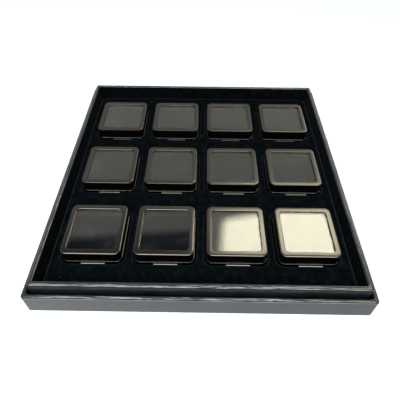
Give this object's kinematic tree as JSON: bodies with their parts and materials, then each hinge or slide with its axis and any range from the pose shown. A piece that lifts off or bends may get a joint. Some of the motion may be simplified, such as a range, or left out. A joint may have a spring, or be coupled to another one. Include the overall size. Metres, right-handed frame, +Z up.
{
  "type": "mineral specimen box",
  "caption": "Square leatherette specimen tray standing in its lift-off cover, with hinged glass-topped metal gem boxes set in a velvet pad.",
  "frame": {"origin": "middle of the footprint, on the surface it stands on", "axes": "+Z up, the front with the gem boxes' thumb tabs is -Y, +X is to the right"},
  "size_m": [0.22, 0.22, 0.0254],
  "materials": {
    "leatherette": "grained PU leatherette, charcoal, satin",
    "velvet": "short black velvet pile",
    "board": "grey binding board",
    "foam": "black closed-cell foam",
    "gunmetal": "satin gunmetal plating on pressed steel",
    "glass": "clear flat glass"
  },
  "bodies": {
    "cover": {"cover_board": "board", "cover_wrap": "leatherette", "cover_lining": "velvet"},
    "tray": {"tray_board": "board", "tray_wrap": "leatherette", "tray_lining": "velvet", "pad_foam": "foam", "pad_velvet": "velvet"},
    "gem_box_01": {"gem_base_01": "gunmetal", "gem_foam_01": "foam"},
    "lid_01": {"gem_lid_01": "gunmetal", "gem_glass_01": "glass"},
    "gem_box_02": {"gem_base_02": "gunmetal", "gem_foam_02": "foam"},
    "lid_02": {"gem_lid_02": "gunmetal", "gem_glass_02": "glass"},
    "gem_box_03": {"gem_base_03": "gunmetal", "gem_foam_03": "foam"},
    "lid_03": {"gem_lid_03": "gunmetal", "gem_glass_03": "glass"},
    "gem_box_04": {"gem_base_04": "gunmetal", "gem_foam_04": "foam"},
    "lid_04": {"gem_lid_04": "gunmetal", "gem_glass_04": "glass"},
    "gem_box_05": {"gem_base_05": "gunmetal", "gem_foam_05": "foam"},
    "lid_05": {"gem_lid_05": "gunmetal", "gem_glass_05": "glass"},
    "gem_box_06": {"gem_base_06": "gunmetal", "gem_foam_06": "foam"},
    "lid_06": {"gem_lid_06": "gunmetal", "gem_glass_06": "glass"},
    "gem_box_07": {"gem_base_07": "gunmetal", "gem_foam_07": "foam"},
    "lid_07": {"gem_lid_07": "gunmetal", "gem_glass_07": "glass"},
    "gem_box_08": {"gem_base_08": "gunmetal", "gem_foam_08": "foam"},
    "lid_08": {"gem_lid_08": "gunmetal", "gem_glass_08": "glass"},
    "gem_box_09": {"gem_base_09": "gunmetal", "gem_foam_09": "foam"},
    "lid_09": {"gem_lid_09": "gunmetal", "gem_glass_09": "glass"},
    "gem_box_10": {"gem_base_10": "gunmetal", "gem_foam_10": "foam"},
    "lid_10": {"gem_lid_10": "gunmetal", "gem_glass_10": "glass"},
    "gem_box_11": {"gem_base_11": "gunmetal", "gem_foam_11": "foam"},
    "lid_11": {"gem_lid_11": "gunmetal", "gem_glass_11": "glass"},
    "gem_box_12": {"gem_base_12": "gunmetal", "gem_foam_12": "foam"},
    "lid_12": {"gem_lid_12": "gunmetal", "gem_glass_12": "glass"}
  },
  "joints": [
    {"name": "tray_lift", "type": "slide", "parent": "cover", "child": "tray", "axis": [0, 0, 1], "range_m": [0, 0.03]},
    {"name": "box_lift_01", "type": "slide", "parent": "tray", "child": "gem_box_01", "axis": [0, 0, 1], "range_m": [0, 0.04]},
    {"name": "lid_hinge_01", "type": "hinge", "parent": "gem_box_01", "child": "lid_01", "pos_m": [-0.0729, -0.0404, 0.0138], "axis": [-1, 0, 0], "range_deg": [0, 100]},
    {"name": "box_lift_02", "type": "slide", "parent": "tray", "child": "gem_box_02", "axis": [0, 0, 1], "range_m": [0, 0.04]},
    {"name": "lid_hinge_02", "type": "hinge", "parent": "gem_box_02", "child": "lid_02", "pos_m": [-0.0243, -0.0404, 0.0138], "axis": [-1, 0, 0], "range_deg": [0, 100]},
    {"name": "box_lift_03", "type": "slide", "parent": "tray", "child": "gem_box_03", "axis": [0, 0, 1], "range_m": [0, 0.04]},
    {"name": "lid_hinge_03", "type": "hinge", "parent": "gem_box_03", "child": "lid_03", "pos_m": [0.0243, -0.0404, 0.0138], "axis": [-1, 0, 0], "range_deg": [0, 100]},
    {"name": "box_lift_04", "type": "slide", "parent": "tray", "child": "gem_box_04", "axis": [0, 0, 1], "range_m": [0, 0.04]},
    {"name": "lid_hinge_04", "type": "hinge", "parent": "gem_box_04", "child": "lid_04", "pos_m": [0.0729, -0.0404, 0.0138], "axis": [-1, 0, 0], "range_deg": [0, 100]},
    {"name": "box_lift_05", "type": "slide", "parent": "tray", "child": "gem_box_05", "axis": [0, 0, 1], "range_m": [0, 0.04]},
    {"name": "lid_hinge_05", "type": "hinge", "parent": "gem_box_05", "child": "lid_05", "pos_m": [-0.0729, 0.0211, 0.0138], "axis": [-1, 0, 0], "range_deg": [0, 100]},
    {"name": "box_lift_06", "type": "slide", "parent": "tray", "child": "gem_box_06", "axis": [0, 0, 1], "range_m": [0, 0.04]},
    {"name": "lid_hinge_06", "type": "hinge", "parent": "gem_box_06", "child": "lid_06", "pos_m": [-0.0243, 0.0211, 0.0138], "axis": [-1, 0, 0], "range_deg": [0, 100]},
    {"name": "box_lift_07", "type": "slide", "parent": "tray", "child": "gem_box_07", "axis": [0, 0, 1], "range_m": [0, 0.04]},
    {"name": "lid_hinge_07", "type": "hinge", "parent": "gem_box_07", "child": "lid_07", "pos_m": [0.0243, 0.0211, 0.0138], "axis": [-1, 0, 0], "range_deg": [0, 100]},
    {"name": "box_lift_08", "type": "slide", "parent": "tray", "child": "gem_box_08", "axis": [0, 0, 1], "range_m": [0, 0.04]},
    {"name": "lid_hinge_08", "type": "hinge", "parent": "gem_box_08", "child": "lid_08", "pos_m": [0.0729, 0.0211, 0.0138], "axis": [-1, 0, 0], "range_deg": [0, 100]},
    {"name": "box_lift_09", "type": "slide", "parent": "tray", "child": "gem_box_09", "axis": [0, 0, 1], "range_m": [0, 0.04]},
    {"name": "lid_hinge_09", "type": "hinge", "parent": "gem_box_09", "child": "lid_09", "pos_m": [-0.0729, 0.0826, 0.0138], "axis": [-1, 0, 0], "range_deg": [0, 100]},
    {"name": "box_lift_10", "type": "slide", "parent": "tray", "child": "gem_box_10", "axis": [0, 0, 1], "range_m": [0, 0.04]},
    {"name": "lid_hinge_10", "type": "hinge", "parent": "gem_box_10", "child": "lid_10", "pos_m": [-0.0243, 0.0826, 0.0138], "axis": [-1, 0, 0], "range_deg": [0, 100]},
    {"name": "box_lift_11", "type": "slide", "parent": "tray", "child": "gem_box_11", "axis": [0, 0, 1], "range_m": [0, 0.04]},
    {"name": "lid_hinge_11", "type": "hinge", "parent": "gem_box_11", "child": "lid_11", "pos_m": [0.0243, 0.0826, 0.0138], "axis": [-1, 0, 0], "range_deg": [0, 100]},
    {"name": "box_lift_12", "type": "slide", "parent": "tray", "child": "gem_box_12", "axis": [0, 0, 1], "range_m": [0, 0.04]},
    {"name": "lid_hinge_12", "type": "hinge", "parent": "gem_box_12", "child": "lid_12", "pos_m": [0.0729, 0.0826, 0.0138], "axis": [-1, 0, 0], "range_deg": [0, 100]}
  ]
}
